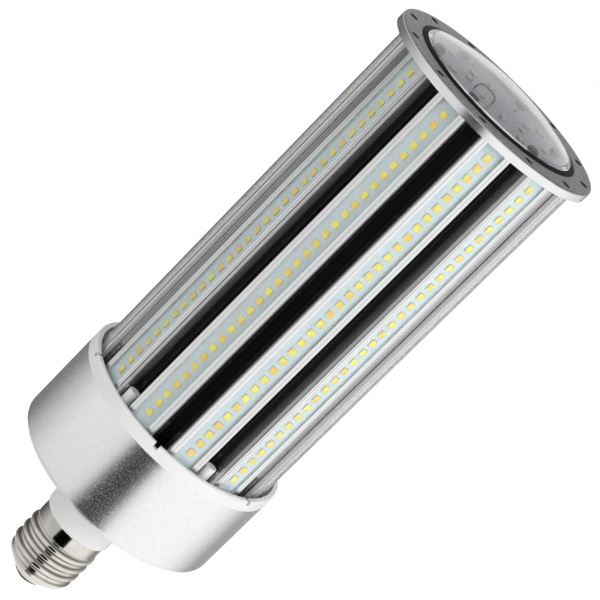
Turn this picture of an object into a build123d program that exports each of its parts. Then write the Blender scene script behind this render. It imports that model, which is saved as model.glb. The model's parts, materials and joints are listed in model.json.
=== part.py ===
from build123d import *
import math
import os

# A column lamp on a 39 mm mogul screw cap, in millimetres.
# The origin is the tip of the centre contact. +Z runs up the lamp's axis, from the cap to the lens.
# Twelve extruded channels stand round a dark core, and each holds an LED board under a clear strip.

# Clearances
SLIP = 0.1
END_GAP = 0.4

# Screw cap: contact, insulator and threaded shell
CONTACT_R = 6.5
CONTACT_T = 2.2
CONTACT_ROUND = 1.6
STEM_R = 1.6
INSULATOR_LIP = 0.6
INSULATOR_W = 2.0
INSULATOR_FLANGE_W = 4.5
INSULATOR_T = 6.4
SHELL_WALL = 0.6
CONE_H = 7.8
THREAD_CREST_R = 19.65
THREAD_DEPTH = 1.55
THREAD_PITCH = 6.35
THREAD_TURNS = 4
BAND_STEP = 0.6
BAND_H = 6.6

# White collar between the cap and the driver housing
COLLAR_STEP = 1.7
COLLAR_TAPER = 0.5
COLLAR_ROUND = 1.4
COLLAR_H = 30.8
COLLAR_SPIGOT_WALL = 2.55
COLLAR_SPIGOT_H = 5.6
COLLAR_FLANGE_W = 7.6
COLLAR_FLANGE_T = 6.5
COLLAR_SCREW_COUNT = 3
COLLAR_SCREW_INSET = 3.8

# Driver housing: a drawn cup that stands out past the column
HOUSING_OVERHANG = 5.0
HOUSING_WALL = 2.0
HOUSING_FLOOR = 2.5
HOUSING_ROUND = 3.2
HOUSING_H = 49.1

# Driver: board on posts, with its large components and its leads
POST_R = 3.0
POST_CLEAR = 0.9
POST_COUNT = 4
POST_INSET = 7.0
DRIVER_BOARD_CLEAR = 8.0
DRIVER_BOARD_T = 1.6
DRIVER_HEADROOM = 3.4
FERRITE_L = 34.0
FERRITE_W = 14.0
FERRITE_YOKE = 4.0
WINDING_L = 22.0
WINDING_W = 27.0
TRANSFORMER_X = -24.0
CAPACITOR_R = 9.0
CAPACITOR_ROUND = 1.5
CAPACITOR_X = 26.0
CAPACITOR_SPACING = 22.0
LEAD_R = 1.0
LEAD_BEND_R = 4.0
SHELL_LEAD_INSET = 4.5
SUPPLY_LEAD_INSET = 2.5
SUPPLY_LEAD_SPACING = 8.0

# White rim ring, dark base plate and the white caps over its fixings
RIM_H = 6.5
RIM_WALL = 2.8
RIM_EDGE = 0.8
RIM_SPIGOT_H = 6.0
RIM_SPIGOT_WALL = 1.8
RIM_LEDGE_T = 3.0
RIM_LEDGE_W = 2.2
NOTCH_COUNT = 6
NOTCH_W = 2.6
NOTCH_D = 2.4
CAP_COUNT = 6
CAP_R = 3.0
CAP_H = 12.0
CAP_INSET = 3.5
CAP_EDGE = 0.4

# Column of channels round the core
MODULE_COUNT = 12
COLUMN_H = 222.7
FRONT_R = 55.0
CHANNEL_DEPTH = 14.0
CORE_WALL = 7.0
PORT_R = 1.3
PORT_DEPTH = 14.0
PORT_COUNT = 6
PORT_INSET = 3.4

# Channel section: a wide head with the strip's groove, and a ribbed neck behind it
HEAD_W = 17.6
HEAD_SIDE = 2.6
HEAD_SLOPE = 0.5
HEAD_EDGE = 0.35
NECK_W = 15.8
NECK_WALL = 1.5
LIP_T = 0.5
WINDOW_W = 11.0
STRIP_W = 12.4
STRIP_T = 0.6
SHELF_T = 1.4
BACK_T = 1.4
RIB_OUT = 0.7
RIB_T = 0.8
RIB_DEPTHS = (4.4, 11.3)

# LED boards of the column, and the packages on them
BOARD_W = 10.6
BOARD_T = 1.2
BOARD_DEPTH = 1.95
LED_PITCH = 6.545
LED_TOP_MARGIN = 7.2
LED_FOOT_MARGIN = 12.0
LED_W = 3.2
LED_H = 3.8
LED_T = 0.7

# Top: cast flange, round LED board with its wire link, lens and its seal
FLANGE_OVERHANG = 6.0
FLANGE_T = 4.8
FLANGE_ROUND = 1.0
FLANGE_LEDGE_T = 2.0
FLANGE_LEDGE_W = 6.4
FLANGE_HOLE_COUNT = 12
FLANGE_HOLE_R = 2.3
FLANGE_HOLE_OUT = 1.0
CORE_CLEAR = 0.55
TOP_BOARD_T = 1.2
INNER_LED_COUNT = 8
INNER_LED_TURN = 21.0
OUTER_LED_COUNT = 8
OUTER_LED_TURN = 37.0
OUTER_LED_INSET = 6.1
LED_RING_STEP = 12.5
LINK_R = 0.45
LINK_SPAN = 11.0
LINK_H = 4.2
LINK_BEND_R = 3.4
LINK_X = -7.0
LINK_Y = -14.0
LENS_WALL = 1.6
LENS_SKIRT = 2.8
LENS_RISE = 7.6
SEAL_W = 3.2
SEAL_PROUD = 1.1
SEAL_EDGE = 0.1
SEAL_ROUND = 0.3

# Pan-head screws of the collar, the base plate and the top board
SCREW_R = 1.25
SCREW_L = 9.0
SCREW_HEAD_R = 2.9
SCREW_HEAD_T = 2.1
SCREW_HEAD_ROUND = 0.7

# Radii of the screw cap and the collar, from the thread's crest and the contact
THREAD_ROOT_R = THREAD_CREST_R - THREAD_DEPTH
BAND_R = THREAD_ROOT_R + BAND_STEP
MOUTH_R = CONTACT_R + INSULATOR_W
INSULATOR_FLANGE_R = MOUTH_R + INSULATOR_FLANGE_W
COLLAR_R = BAND_R + COLLAR_STEP
COLLAR_BORE_R = BAND_R - SHELL_WALL - COLLAR_SPIGOT_WALL
COLLAR_FLANGE_R = COLLAR_R + COLLAR_FLANGE_W
COLLAR_SCREW_CIRCLE_R = COLLAR_FLANGE_R - COLLAR_SCREW_INSET
SHELL_LEAD_X = COLLAR_BORE_R - SHELL_LEAD_INSET

# Angles about the axis, in degrees from +X; the front of the lamp is -Y, where a slot faces
MODULE_STEP = 360.0 / MODULE_COUNT
FRONT_SLOT = -90.0
FIRST_MODULE = FRONT_SLOT + MODULE_STEP / 2
FIRST_PORT = FRONT_SLOT - MODULE_STEP / 2

# Radii of the column, the housing and the top, from the channels' front
CORE_FLAT_R = FRONT_R - CHANNEL_DEPTH
CORE_CORNER_R = CORE_FLAT_R / math.cos(math.radians(MODULE_STEP / 2))
CORE_BORE_R = CORE_FLAT_R - CORE_WALL
PORT_CIRCLE_R = CORE_FLAT_R - PORT_INSET
OUTER_LED_R = PORT_CIRCLE_R - OUTER_LED_INSET
INNER_LED_R = OUTER_LED_R - LED_RING_STEP
SUPPLY_LEAD_Y = CORE_BORE_R - SUPPLY_LEAD_INSET
CAP_CIRCLE_R = FRONT_R - CAP_INSET
BOARD_SEAT_R = FRONT_R - BOARD_DEPTH - BOARD_T
BOARD_FACE_R = BOARD_SEAT_R + BOARD_T
HOUSING_R = FRONT_R + HOUSING_OVERHANG
HOUSING_BORE_R = HOUSING_R - HOUSING_WALL
DRIVER_BOARD_R = HOUSING_BORE_R - DRIVER_BOARD_CLEAR
POST_CIRCLE_R = DRIVER_BOARD_R - POST_INSET
RIM_BORE_R = HOUSING_R - RIM_WALL
SPIGOT_R = HOUSING_BORE_R - SLIP
BASE_R = SPIGOT_R - RIM_SPIGOT_WALL - SLIP
FLANGE_R = FRONT_R + FLANGE_OVERHANG
FLANGE_HOLE_CIRCLE_R = FRONT_R + FLANGE_HOLE_OUT
FLANGE_BORE_R = CORE_CORNER_R + CORE_CLEAR
SEAT_R = FLANGE_BORE_R + FLANGE_LEDGE_W
LENS_R = SEAT_R - SEAL_W - 2 * SLIP

# Heights along the axis, stacked from the contact's tip
MOUTH_Z = CONTACT_T + INSULATOR_LIP
CONE_TOP_Z = MOUTH_Z + CONE_H
THREAD_TOP_Z = CONE_TOP_Z + THREAD_TURNS * THREAD_PITCH
COLLAR_Z = THREAD_TOP_Z + BAND_H
HOUSING_Z = COLLAR_Z + COLLAR_H
FLOOR_Z = HOUSING_Z + HOUSING_FLOOR
COLLAR_TOP_Z = FLOOR_Z + COLLAR_FLANGE_T
DRIVER_Z = COLLAR_TOP_Z + SCREW_HEAD_T + POST_CLEAR
DRIVER_TOP_Z = DRIVER_Z + DRIVER_BOARD_T
RIM_Z = HOUSING_Z + HOUSING_H
BASE_T = RIM_SPIGOT_H - RIM_LEDGE_T
BASE_Z = RIM_Z - BASE_T
FLANGE_Z = RIM_Z + COLUMN_H
CORE_TOP_Z = FLANGE_Z + FLANGE_LEDGE_T
TOP_BOARD_Z = CORE_TOP_Z + TOP_BOARD_T

# Sizes that follow from the fits
CONE_SLOPE = CONE_H / (THREAD_ROOT_R - MOUTH_R)
CONE_WALL_Z = SHELL_WALL * math.hypot(1.0, CONE_SLOPE)
GROOVE_T = STRIP_T + 2 * SLIP
COMPONENT_H = BASE_Z - SCREW_HEAD_T - DRIVER_HEADROOM - DRIVER_TOP_Z
LED_PER_BOARD = 1 + int((COLUMN_H - LED_TOP_MARGIN - LED_FOOT_MARGIN) / LED_PITCH)


def turned(*outline, rounds=None):
    """A body turned about the axis from (radius, height) points; rounds maps a point to its fillet."""
    radii = [0.0] * len(outline)
    for index, radius in (rounds or {}).items():
        radii[index] = radius
    wire = FilletPolyline(*outline, radius=radii, close=True)
    return revolve(Plane.XZ * make_face(wire), Axis.Z)


def rod(radius, bottom, top, x=0.0, y=0.0):
    """A round bar that stands upright between two heights."""
    return Pos(x, y, bottom) * Cylinder(radius, top - bottom, align=(Align.CENTER, Align.CENTER, Align.MIN))


def block(size, bottom, x=0.0, y=0.0):
    """A rectangular block that stands on a height."""
    return Pos(x, y, bottom) * Box(*size, align=(Align.CENTER, Align.CENTER, Align.MIN))


def around(count, first, radius):
    """Places spaced evenly round the axis, each turned to face outwards along its own X."""
    return [Rot(0, 0, first + 360.0 / count * i) * Pos(radius, 0, 0) for i in range(count)]


def module_turns():
    """The turns about the axis that carry a part drawn along +X to each channel of the column."""
    return [Rot(0, 0, FIRST_MODULE + MODULE_STEP * i) for i in range(MODULE_COUNT)]


# Screw cap

def centre_contact():
    head = turned((0, 0), (CONTACT_R, 0), (CONTACT_R, CONTACT_T), (0, CONTACT_T), rounds={1: CONTACT_ROUND})
    return head + rod(STEM_R, CONTACT_T, CONTACT_T + INSULATOR_T)


def cap_insulator():
    def cone_inside(radius):
        return MOUTH_Z + (radius - MOUTH_R) * CONE_SLOPE + CONE_WALL_Z + SLIP / 2

    top = CONTACT_T + INSULATOR_T
    bore = STEM_R + SLIP / 2
    plug = MOUTH_R - SLIP
    flange = (INSULATOR_FLANGE_R, cone_inside(INSULATOR_FLANGE_R))
    rim = (INSULATOR_FLANGE_R, max(top, flange[1] + SHELL_WALL))
    return turned((bore, CONTACT_T), (plug, CONTACT_T), (plug, cone_inside(plug)), flange, rim, (bore, top))


def screw_shell():
    """A pressed shell: cone, annular thread form and plain band, all of one sheet thickness."""
    steps = ((0.0, 0), (0.19, 0), (0.38, 1), (0.62, 1), (0.81, 0))
    radius = (THREAD_ROOT_R, THREAD_CREST_R)
    outside = [(MOUTH_R, MOUTH_Z)]
    for turn in range(THREAD_TURNS):
        start = CONE_TOP_Z + turn * THREAD_PITCH
        outside += [(radius[crest], start + share * THREAD_PITCH) for share, crest in steps]
    outside += [(THREAD_ROOT_R, THREAD_TOP_Z), (BAND_R, THREAD_TOP_Z + SHELL_WALL), (BAND_R, COLLAR_Z)]
    inside = [(r - SHELL_WALL, z) for r, z in reversed(outside[2:])]
    cone_foot = (THREAD_ROOT_R - SHELL_WALL, CONE_TOP_Z + CONE_WALL_Z - SHELL_WALL * CONE_SLOPE)
    return turned(*outside, *inside, cone_foot, (MOUTH_R, MOUTH_Z + CONE_WALL_Z))


def collar():
    spigot = BAND_R - SHELL_WALL - SLIP / 2
    tube = turned(
        (COLLAR_BORE_R, COLLAR_Z - COLLAR_SPIGOT_H),
        (spigot, COLLAR_Z - COLLAR_SPIGOT_H),
        (spigot, COLLAR_Z),
        (COLLAR_R - COLLAR_TAPER, COLLAR_Z),
        (COLLAR_R, HOUSING_Z),
        (COLLAR_R, FLOOR_Z),
        (COLLAR_FLANGE_R, FLOOR_Z),
        (COLLAR_FLANGE_R, COLLAR_TOP_Z),
        (COLLAR_BORE_R, COLLAR_TOP_Z),
        rounds={3: COLLAR_ROUND},
    )
    hole = rod(SCREW_R + SLIP, FLOOR_Z, COLLAR_TOP_Z)
    return tube - [place * hole for place in around(COLLAR_SCREW_COUNT, FRONT_SLOT, COLLAR_SCREW_CIRCLE_R)]


# Driver housing and the driver in it

def driver_housing():
    floor_hole = COLLAR_R + SLIP
    cup = turned(
        (floor_hole, HOUSING_Z),
        (HOUSING_R, HOUSING_Z),
        (HOUSING_R, RIM_Z),
        (HOUSING_BORE_R, RIM_Z),
        (HOUSING_BORE_R, FLOOR_Z),
        (floor_hole, FLOOR_Z),
        rounds={1: HOUSING_ROUND, 4: HOUSING_ROUND - HOUSING_WALL / 2},
    )
    hole = rod(SCREW_R + SLIP / 2, HOUSING_Z, FLOOR_Z)
    return cup - [place * hole for place in around(COLLAR_SCREW_COUNT, FRONT_SLOT, COLLAR_SCREW_CIRCLE_R)]


def board_posts():
    post = rod(POST_R, FLOOR_Z, DRIVER_Z)
    first = FRONT_SLOT + 180.0 / POST_COUNT
    return [place * post for place in around(POST_COUNT, first, POST_CIRCLE_R)]


def driver_board():
    return rod(DRIVER_BOARD_R, DRIVER_Z, DRIVER_TOP_Z)


def transformer():
    """A ferrite block with its winding between the upper and the lower yoke."""
    ferrite = block((FERRITE_L, FERRITE_W, COMPONENT_H), DRIVER_TOP_Z, TRANSFORMER_X)
    winding_h = COMPONENT_H - 2 * FERRITE_YOKE
    return ferrite + block((WINDING_L, WINDING_W, winding_h), DRIVER_TOP_Z + FERRITE_YOKE, TRANSFORMER_X)


def capacitors():
    can = turned(
        (0, DRIVER_TOP_Z),
        (CAPACITOR_R, DRIVER_TOP_Z),
        (CAPACITOR_R, DRIVER_TOP_Z + COMPONENT_H),
        (0, DRIVER_TOP_Z + COMPONENT_H),
        rounds={2: CAPACITOR_ROUND},
    )
    return [Pos(CAPACITOR_X, side * CAPACITOR_SPACING / 2, 0) * can for side in (-1, 1)]


def contact_lead():
    return rod(LEAD_R, CONTACT_T + INSULATOR_T, DRIVER_Z)


def shell_lead():
    """A lead from a thread root of the shell that bends upwards to the driver board."""
    joint_z = THREAD_TOP_Z - THREAD_PITCH
    path = FilletPolyline(
        (THREAD_ROOT_R - SHELL_WALL - SLIP, 0, joint_z),
        (SHELL_LEAD_X, 0, joint_z),
        (SHELL_LEAD_X, 0, DRIVER_Z),
        radius=[LEAD_BEND_R],
    )
    section = Plane(origin=path @ 0, z_dir=path % 0) * Circle(LEAD_R)
    return sweep(section, path)


def supply_leads():
    lead = rod(LEAD_R, DRIVER_TOP_Z, CORE_TOP_Z, y=SUPPLY_LEAD_Y)
    return [Pos(side * SUPPLY_LEAD_SPACING / 2, 0, 0) * lead for side in (-1, 1)]


# Rim ring, base plate and fixing caps

def rim_ring():
    rim_top = RIM_Z + RIM_H
    bottom = RIM_Z - RIM_SPIGOT_H
    spigot_bore = SPIGOT_R - RIM_SPIGOT_WALL
    body = turned(
        (spigot_bore - RIM_LEDGE_W, bottom),
        (SPIGOT_R, bottom),
        (SPIGOT_R, RIM_Z),
        (HOUSING_R, RIM_Z),
        (HOUSING_R, rim_top - RIM_EDGE),
        (HOUSING_R - RIM_EDGE, rim_top),
        (RIM_BORE_R, rim_top),
        (RIM_BORE_R, RIM_Z),
        (spigot_bore, RIM_Z),
        (spigot_bore, BASE_Z),
        (spigot_bore - RIM_LEDGE_W, BASE_Z),
    )
    notch = block((3 * RIM_WALL, NOTCH_W, NOTCH_D), rim_top - NOTCH_D)
    middle = HOUSING_R - RIM_WALL / 2
    return body - [place * notch for place in around(NOTCH_COUNT, FRONT_SLOT, middle)]


def base_plate():
    """A round plate with bores for the core's screws and for the supply leads."""
    plate = rod(BASE_R, BASE_Z, RIM_Z)
    screw_bore = rod(SCREW_R + SLIP, BASE_Z, RIM_Z)
    lead_bore = rod(LEAD_R + SLIP, BASE_Z, RIM_Z, y=SUPPLY_LEAD_Y)
    bores = [place * screw_bore for place in around(PORT_COUNT, FIRST_PORT, PORT_CIRCLE_R)]
    bores += [Pos(side * SUPPLY_LEAD_SPACING / 2, 0, 0) * lead_bore for side in (-1, 1)]
    return plate - bores


def fixing_caps():
    top = RIM_Z + CAP_H
    cap = turned((0, RIM_Z), (CAP_R, RIM_Z), (CAP_R, top), (0, top), rounds={2: CAP_EDGE})
    return [place * cap for place in around(CAP_COUNT, FRONT_SLOT + MODULE_STEP, CAP_CIRCLE_R)]


# Column

def core_tube():
    """A twelve-sided tube whose flats seat the channels, with screw ports in both ends of its wall."""
    section = RegularPolygon(CORE_FLAT_R, MODULE_COUNT, major_radius=False, rotation=0) - Circle(CORE_BORE_R)
    flat_turn = Rot(0, 0, FIRST_MODULE - MODULE_STEP / 2)
    tube = Pos(0, 0, RIM_Z) * flat_turn * extrude(section, CORE_TOP_Z - RIM_Z)
    ports = [rod(PORT_R, RIM_Z, RIM_Z + PORT_DEPTH), rod(PORT_R, CORE_TOP_Z - PORT_DEPTH, CORE_TOP_Z)]
    places = around(PORT_COUNT, FIRST_PORT, PORT_CIRCLE_R)
    return tube - [place * port for place in places for port in ports]


def channel_section():
    """The channel's section, drawn with X outwards and Y across, mirrored about its middle."""
    pocket = BOARD_W / 2 + SLIP
    groove = STRIP_W / 2 + SLIP
    groove_floor = LIP_T + GROOVE_T
    neck = NECK_W / 2
    seat = FRONT_R - BOARD_SEAT_R
    half = [
        (seat, pocket),
        (groove_floor, pocket),
        (groove_floor, groove),
        (LIP_T, groove),
        (LIP_T, WINDOW_W / 2),
        (0, WINDOW_W / 2),
        (0, HEAD_W / 2 - HEAD_EDGE),
        (HEAD_EDGE, HEAD_W / 2),
        (HEAD_SIDE, HEAD_W / 2),
        (HEAD_SIDE + HEAD_SLOPE, neck),
    ]
    for depth in RIB_DEPTHS:
        half += [(depth, neck), (depth, neck + RIB_OUT), (depth + RIB_T, neck + RIB_OUT), (depth + RIB_T, neck)]
    half.append((CHANNEL_DEPTH, neck))
    outline = half + [(depth, -across) for depth, across in reversed(half)]
    body = make_face(Polyline(*[(FRONT_R - depth, across) for depth, across in outline], close=True))
    outer_wall = BOARD_SEAT_R - SHELF_T
    inner_wall = CORE_FLAT_R + BACK_T
    cavity = Rectangle(outer_wall - inner_wall, NECK_W - 2 * NECK_WALL)
    return body - Pos((outer_wall + inner_wall) / 2, 0, 0) * cavity


def heat_sink():
    return Pos(0, 0, RIM_Z) * extrude(channel_section(), COLUMN_H)


def led_board():
    length = COLUMN_H - 2 * END_GAP
    return block((BOARD_T, BOARD_W, length), RIM_Z + END_GAP, BOARD_SEAT_R + BOARD_T / 2)


def clear_strip():
    length = COLUMN_H - 2 * END_GAP
    middle = FRONT_R - LIP_T - GROOVE_T / 2
    return block((STRIP_T, STRIP_W, length), RIM_Z + END_GAP, middle)


def leds():
    """Every LED package: a row on each board of the column, and two rings on the top board."""
    side = Box(LED_T, LED_W, LED_H, align=(Align.MIN, Align.CENTER, Align.CENTER))
    heights = [FLANGE_Z - LED_TOP_MARGIN - LED_PITCH * i for i in range(LED_PER_BOARD)]
    packages = [turn * Pos(BOARD_FACE_R, 0, z) * side for turn in module_turns() for z in heights]
    top = Box(LED_H, LED_W, LED_T, align=(Align.CENTER, Align.CENTER, Align.MIN))
    places = around(INNER_LED_COUNT, FRONT_SLOT + INNER_LED_TURN, INNER_LED_R)
    places += around(OUTER_LED_COUNT, FRONT_SLOT + OUTER_LED_TURN, OUTER_LED_R)
    return packages + [place * Pos(0, 0, TOP_BOARD_Z) * top for place in places]


# Top

def top_flange():
    top = FLANGE_Z + FLANGE_T
    body = turned(
        (FLANGE_BORE_R, FLANGE_Z),
        (FLANGE_R, FLANGE_Z),
        (FLANGE_R, top),
        (SEAT_R, top),
        (SEAT_R, CORE_TOP_Z),
        (FLANGE_BORE_R, CORE_TOP_Z),
        rounds={2: FLANGE_ROUND},
    )
    hole = rod(FLANGE_HOLE_R, FLANGE_Z, top)
    return body - [place * hole for place in around(FLANGE_HOLE_COUNT, FRONT_SLOT, FLANGE_HOLE_CIRCLE_R)]


def top_board():
    """A round LED board that the screws draw down, so that it clamps the flange's ledge."""
    board = rod(SEAT_R - SLIP, CORE_TOP_Z, TOP_BOARD_Z)
    bore = rod(SCREW_R + SLIP, CORE_TOP_Z, TOP_BOARD_Z)
    return board - [place * bore for place in around(PORT_COUNT, FIRST_PORT, PORT_CIRCLE_R)]


def board_link():
    """A wire link that arches between two joints on the top board."""
    left = LINK_X - LINK_SPAN / 2
    right = LINK_X + LINK_SPAN / 2
    path = FilletPolyline(
        (left, LINK_Y, TOP_BOARD_Z),
        (left, LINK_Y, TOP_BOARD_Z + LINK_H),
        (right, LINK_Y, TOP_BOARD_Z + LINK_H),
        (right, LINK_Y, TOP_BOARD_Z),
        radius=LINK_BEND_R,
    )
    section = Plane(origin=path @ 0, z_dir=path % 0) * Circle(LINK_R)
    return sweep(section, path)


def lens():
    """A clear domed shell of even wall with a short skirt that stands on the top board."""
    spring = TOP_BOARD_Z + LENS_SKIRT
    inner_r = LENS_R - LENS_WALL
    sphere = (LENS_R * LENS_R + LENS_RISE * LENS_RISE) / (2 * LENS_RISE)

    def dome_point(across, inset):
        reach = sphere - inset
        return (across, spring + LENS_RISE - sphere + math.sqrt(reach * reach - across * across))

    crown = dome_point(0, 0)
    inner_crown = dome_point(0, LENS_WALL)
    inner_spring = dome_point(inner_r, LENS_WALL)
    outer = ThreePointArc((LENS_R, spring), dome_point(LENS_R / 2, 0), crown)
    inner = ThreePointArc(inner_crown, dome_point(inner_r / 2, LENS_WALL), inner_spring)
    skirt = Polyline(inner_spring, (inner_r, TOP_BOARD_Z), (LENS_R, TOP_BOARD_Z), (LENS_R, spring))
    return revolve(Plane.XZ * make_face([outer, Line(crown, inner_crown), inner, skirt]), Axis.Z)


def lens_seal():
    """A bead that slopes up from the flange's face to the lens."""
    face = FLANGE_Z + FLANGE_T
    return turned(
        (LENS_R + SLIP, TOP_BOARD_Z),
        (SEAT_R - SLIP, TOP_BOARD_Z),
        (SEAT_R - SLIP, face + SEAL_EDGE),
        (LENS_R + SLIP, face + SEAL_PROUD),
        rounds={2: SEAL_ROUND, 3: SEAL_ROUND},
    )


# Fasteners

def pan_screw():
    """A pan-head screw whose head rests on height zero and whose shank points down."""
    return turned(
        (0, -SCREW_L),
        (SCREW_R, -SCREW_L),
        (SCREW_R, 0),
        (SCREW_HEAD_R, 0),
        (SCREW_HEAD_R, SCREW_HEAD_T),
        (0, SCREW_HEAD_T),
        rounds={4: SCREW_HEAD_ROUND},
    )


def pan_screws():
    """The screws of the collar's flange, of the base plate from below and of the top board."""
    screw = pan_screw()
    collar_seat = Pos(0, 0, COLLAR_TOP_Z)
    base_seat = Pos(0, 0, BASE_Z) * Rot(180, 0, 0)
    top_seat = Pos(0, 0, TOP_BOARD_Z)
    group = [place * collar_seat * screw for place in around(COLLAR_SCREW_COUNT, FRONT_SLOT, COLLAR_SCREW_CIRCLE_R)]
    for place in around(PORT_COUNT, FIRST_PORT, PORT_CIRCLE_R):
        group += [place * base_seat * screw, place * top_seat * screw]
    return group


def save(name, shape):
    """One file for each node; a list becomes a group of separate solids."""
    solid = Compound(list(shape)) if isinstance(shape, list) else shape
    export_step(solid, f"parts/{name}.step")


def main():
    os.makedirs("parts", exist_ok=True)
    single_parts = (
        centre_contact, cap_insulator, screw_shell, collar, driver_housing, board_posts, driver_board,
        transformer, capacitors, contact_lead, shell_lead, supply_leads, rim_ring, base_plate, fixing_caps,
        core_tube, leds, top_flange, top_board, board_link, lens, lens_seal, pan_screws,
    )
    for make in single_parts:
        save(make.__name__, make())
    for make in (heat_sink, led_board, clear_strip):
        drawn = make()
        for number, turn in enumerate(module_turns(), start=1):
            save(f"{make.__name__}_{number:02d}", turn * drawn)


if __name__ == "__main__":
    main()
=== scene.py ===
"""Finishes and fine parts of a column LED lamp with a mogul screw cap.

The file is laid out as an add-on and is run as a script. The packed lamp stays as it is: its solids get
procedural finishes here, and the thread, the LED packages, the lens and the screws are modelled in full.
"""
import json
import math

import bpy
from bpy.props import FloatProperty, FloatVectorProperty, PointerProperty
from bpy.types import Operator, Panel, PropertyGroup
from mathutils import Matrix, Vector


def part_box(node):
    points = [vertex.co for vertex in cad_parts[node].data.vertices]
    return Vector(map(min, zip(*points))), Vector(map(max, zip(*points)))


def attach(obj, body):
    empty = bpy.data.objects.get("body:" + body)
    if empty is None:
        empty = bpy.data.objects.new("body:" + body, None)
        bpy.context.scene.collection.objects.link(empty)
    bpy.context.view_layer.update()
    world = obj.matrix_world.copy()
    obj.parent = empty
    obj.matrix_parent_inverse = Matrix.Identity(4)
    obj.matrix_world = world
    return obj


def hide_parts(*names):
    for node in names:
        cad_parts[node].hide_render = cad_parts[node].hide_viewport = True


bl_info = {
    "name": "Column Lamp Finish",
    "version": (1, 0, 0),
    "blender": (4, 5, 0),
    "location": "View3D > Sidebar > Lamp",
    "description": "Finishes, thread, LED packages, lens and screws of a column LED lamp",
    "category": "Object",
}

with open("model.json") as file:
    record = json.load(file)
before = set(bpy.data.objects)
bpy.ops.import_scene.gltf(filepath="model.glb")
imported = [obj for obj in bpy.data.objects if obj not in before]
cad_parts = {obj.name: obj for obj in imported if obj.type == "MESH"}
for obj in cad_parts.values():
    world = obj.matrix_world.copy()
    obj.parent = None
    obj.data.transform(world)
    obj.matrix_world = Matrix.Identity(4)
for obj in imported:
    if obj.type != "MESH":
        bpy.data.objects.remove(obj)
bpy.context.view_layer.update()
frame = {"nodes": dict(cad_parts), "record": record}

MM = 0.001
NODES = frame["nodes"]
MOUNTS = {mount["name"]: mount["dims"] for mount in frame["record"]["mounts"]}
MODULE_NUMBERS = [name[-2:] for name in sorted(NODES) if name.startswith("heat_sink_")]
MODULE_STEP = math.tau / len(MODULE_NUMBERS)
FRONT = -math.pi / 2
WHITE = (1.0, 1.0, 1.0, 1.0)
BLACK = (0.0, 0.0, 0.0)


# Measures taken from the packed solids

def corners(node):
    """Every vertex of a packed solid."""
    return [vertex.co for vertex in NODES[node].data.vertices]


def radii(node, low, high):
    """The smallest and largest distance from the axis among a node's vertices between two heights."""
    found = [math.hypot(p.x, p.y) for p in corners(node) if low <= p.z <= high]
    return min(found), max(found)


def solids(node):
    """The vertices of each separate solid of a node."""
    points = corners(node)
    keys = {}
    parent = list(range(len(points)))

    def root(i):
        while parent[i] != i:
            parent[i] = parent[parent[i]]
            i = parent[i]
        return i

    for i, p in enumerate(points):
        same = keys.setdefault((round(p.x, 7), round(p.y, 7), round(p.z, 7)), i)
        parent[root(i)] = root(same)
    for polygon in NODES[node].data.polygons:
        first = polygon.vertices[0]
        for other in polygon.vertices[1:]:
            parent[root(other)] = root(first)
    groups = {}
    for i, p in enumerate(points):
        groups.setdefault(root(i), []).append(p)
    return list(groups.values())


def middle(points):
    """The middle of the box round some points."""
    low = Vector(min(p[i] for p in points) for i in range(3))
    high = Vector(max(p[i] for p in points) for i in range(3))
    return (low + high) / 2


def front_radius():
    """How far the channels' front faces stand from the axis."""
    outward = Vector((math.cos(FRONT + MODULE_STEP / 2), math.sin(FRONT + MODULE_STEP / 2), 0))
    return max(p.dot(outward) for p in corners("heat_sink_01"))


def smoothstep(low, high, value):
    """0 below low, 1 above high, and a smooth rise between them."""
    t = min(max((value - low) / (high - low), 0.0), 1.0)
    return t * t * (3 - 2 * t)


# Settings that a user would change

def length(label, description, default):
    """A size in metres, shown in the scene's own unit."""
    return FloatProperty(
        name=label, description=description, default=default, min=0.0, precision=5, unit="LENGTH")


def turn_angle(label, description, degrees):
    """An angle whose default is given in degrees."""
    return FloatProperty(
        name=label, description=description, default=math.radians(degrees), subtype="ANGLE")


def watts(label, description, default):
    """A light's power."""
    return FloatProperty(name=label, description=description, default=default, min=0.0, unit="POWER")


def colour(label, description, default):
    """A colour in linear values."""
    return FloatVectorProperty(
        name=label, description=description, default=default, size=3, min=0.0, max=1.0, subtype="COLOR")


class CapSettings(PropertyGroup):
    """The screw cap's thread and its plating"""
    pitch: length("Pitch", "Rise of the thread in one turn", 6.35 * MM)
    depth: length("Depth", "Height of the crest above the root", 1.55 * MM)
    turns: FloatProperty(name="Turns", description="Turns of the thread", default=3.7, min=1.0)
    first_crest: length("First crest", "Height of the lowest crest on the lamp's left side", 10.0 * MM)
    nickel: colour("Nickel", "Plating of the shell and the contact", (0.80, 0.77, 0.71))


class LedSettings(PropertyGroup):
    """The LED packages"""
    margin: length("Margin", "Width of the rim round the phosphor", 0.03 * MM)
    window_round: length("Window corner", "Corner radius of the phosphor window", 0.6 * MM)
    recess: length("Recess", "Depth of the phosphor below the rim", 0.1 * MM)
    terminal: length("Terminal", "How far the metal terminals stand out", 0.22 * MM)
    phosphor: colour("Phosphor", "Colour of the phosphor", (0.81, 0.66, 0.035))
    body: colour("Body", "Colour of the coated sides", (0.67, 0.49, 0.15))
    # The top-board tones are darker, greyer copies of the column's LED tones: painted shade under the
    # lens.
    shaded_top_phosphor: colour("Top phosphor", "Colour of the phosphor on the top board", (0.26, 0.22, 0.14))
    shaded_top_body: colour("Top body", "Colour of the coated sides on the top board", (0.20, 0.17, 0.11))


class ScrewSettings(PropertyGroup):
    """The pan-head screws"""
    recess_width: length("Recess width", "Width of each arm of the cross recess", 0.8 * MM)
    recess_length: length("Recess length", "Length of the cross recess from tip to tip", 3.4 * MM)
    recess_depth: length("Recess depth", "Depth of the cross recess", 1.0 * MM)
    thread_pitch: length("Thread pitch", "Rise of the screw's thread in one turn", 0.9 * MM)


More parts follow.
